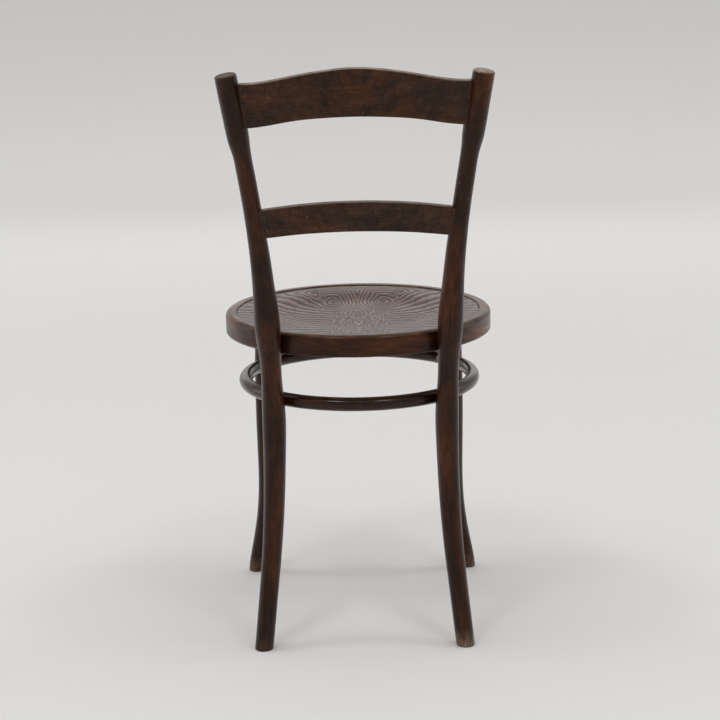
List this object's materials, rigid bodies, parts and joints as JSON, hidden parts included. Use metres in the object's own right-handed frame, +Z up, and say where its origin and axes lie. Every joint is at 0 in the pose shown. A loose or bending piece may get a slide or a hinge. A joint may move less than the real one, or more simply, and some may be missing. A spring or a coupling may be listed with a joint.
{
  "type": "bentwood bistro chair",
  "caption": "Bentwood cafe chair with a round framed seat, a hoop tying the splayed legs, and a back of bowed rails between swelling posts.",
  "frame": {"origin": "on the floor, under the middle of the chair's overall box", "axes": "+Z up; the chair faces -Y and its back stands at +Y; +X is the sitter's left"},
  "size_m": [0.402, 0.4735, 0.8555],
  "materials": {
    "turned_beech": "dark brown stained beech, satin lacquer, worn",
    "bent_slat": "dark brown stained bent slat with figure, satin lacquer",
    "bent_ring": "dark brown stained bent beech, satin lacquer",
    "pressed_veneer": "dark stained pressed veneer, worn satin",
    "screw_steel": "dulled zinc-plated steel",
    "pin_steel": "plain steel wire"
  },
  "bodies": {
    "root": {"rear_leg_left": "turned_beech", "rear_leg_right": "turned_beech", "front_leg_left": "turned_beech", "front_leg_right": "turned_beech", "crest_rail": "bent_slat", "lower_back_rail": "bent_slat", "seat_frame": "bent_ring", "leg_hoop": "bent_ring", "seat_panel": "pressed_veneer", "rear_leg_screws": "screw_steel", "rear_leg_washers": "screw_steel", "hoop_screws": "screw_steel", "rail_pins": "pin_steel", "seat_panel_brads": "pin_steel"}
  },
  "joints": []
}
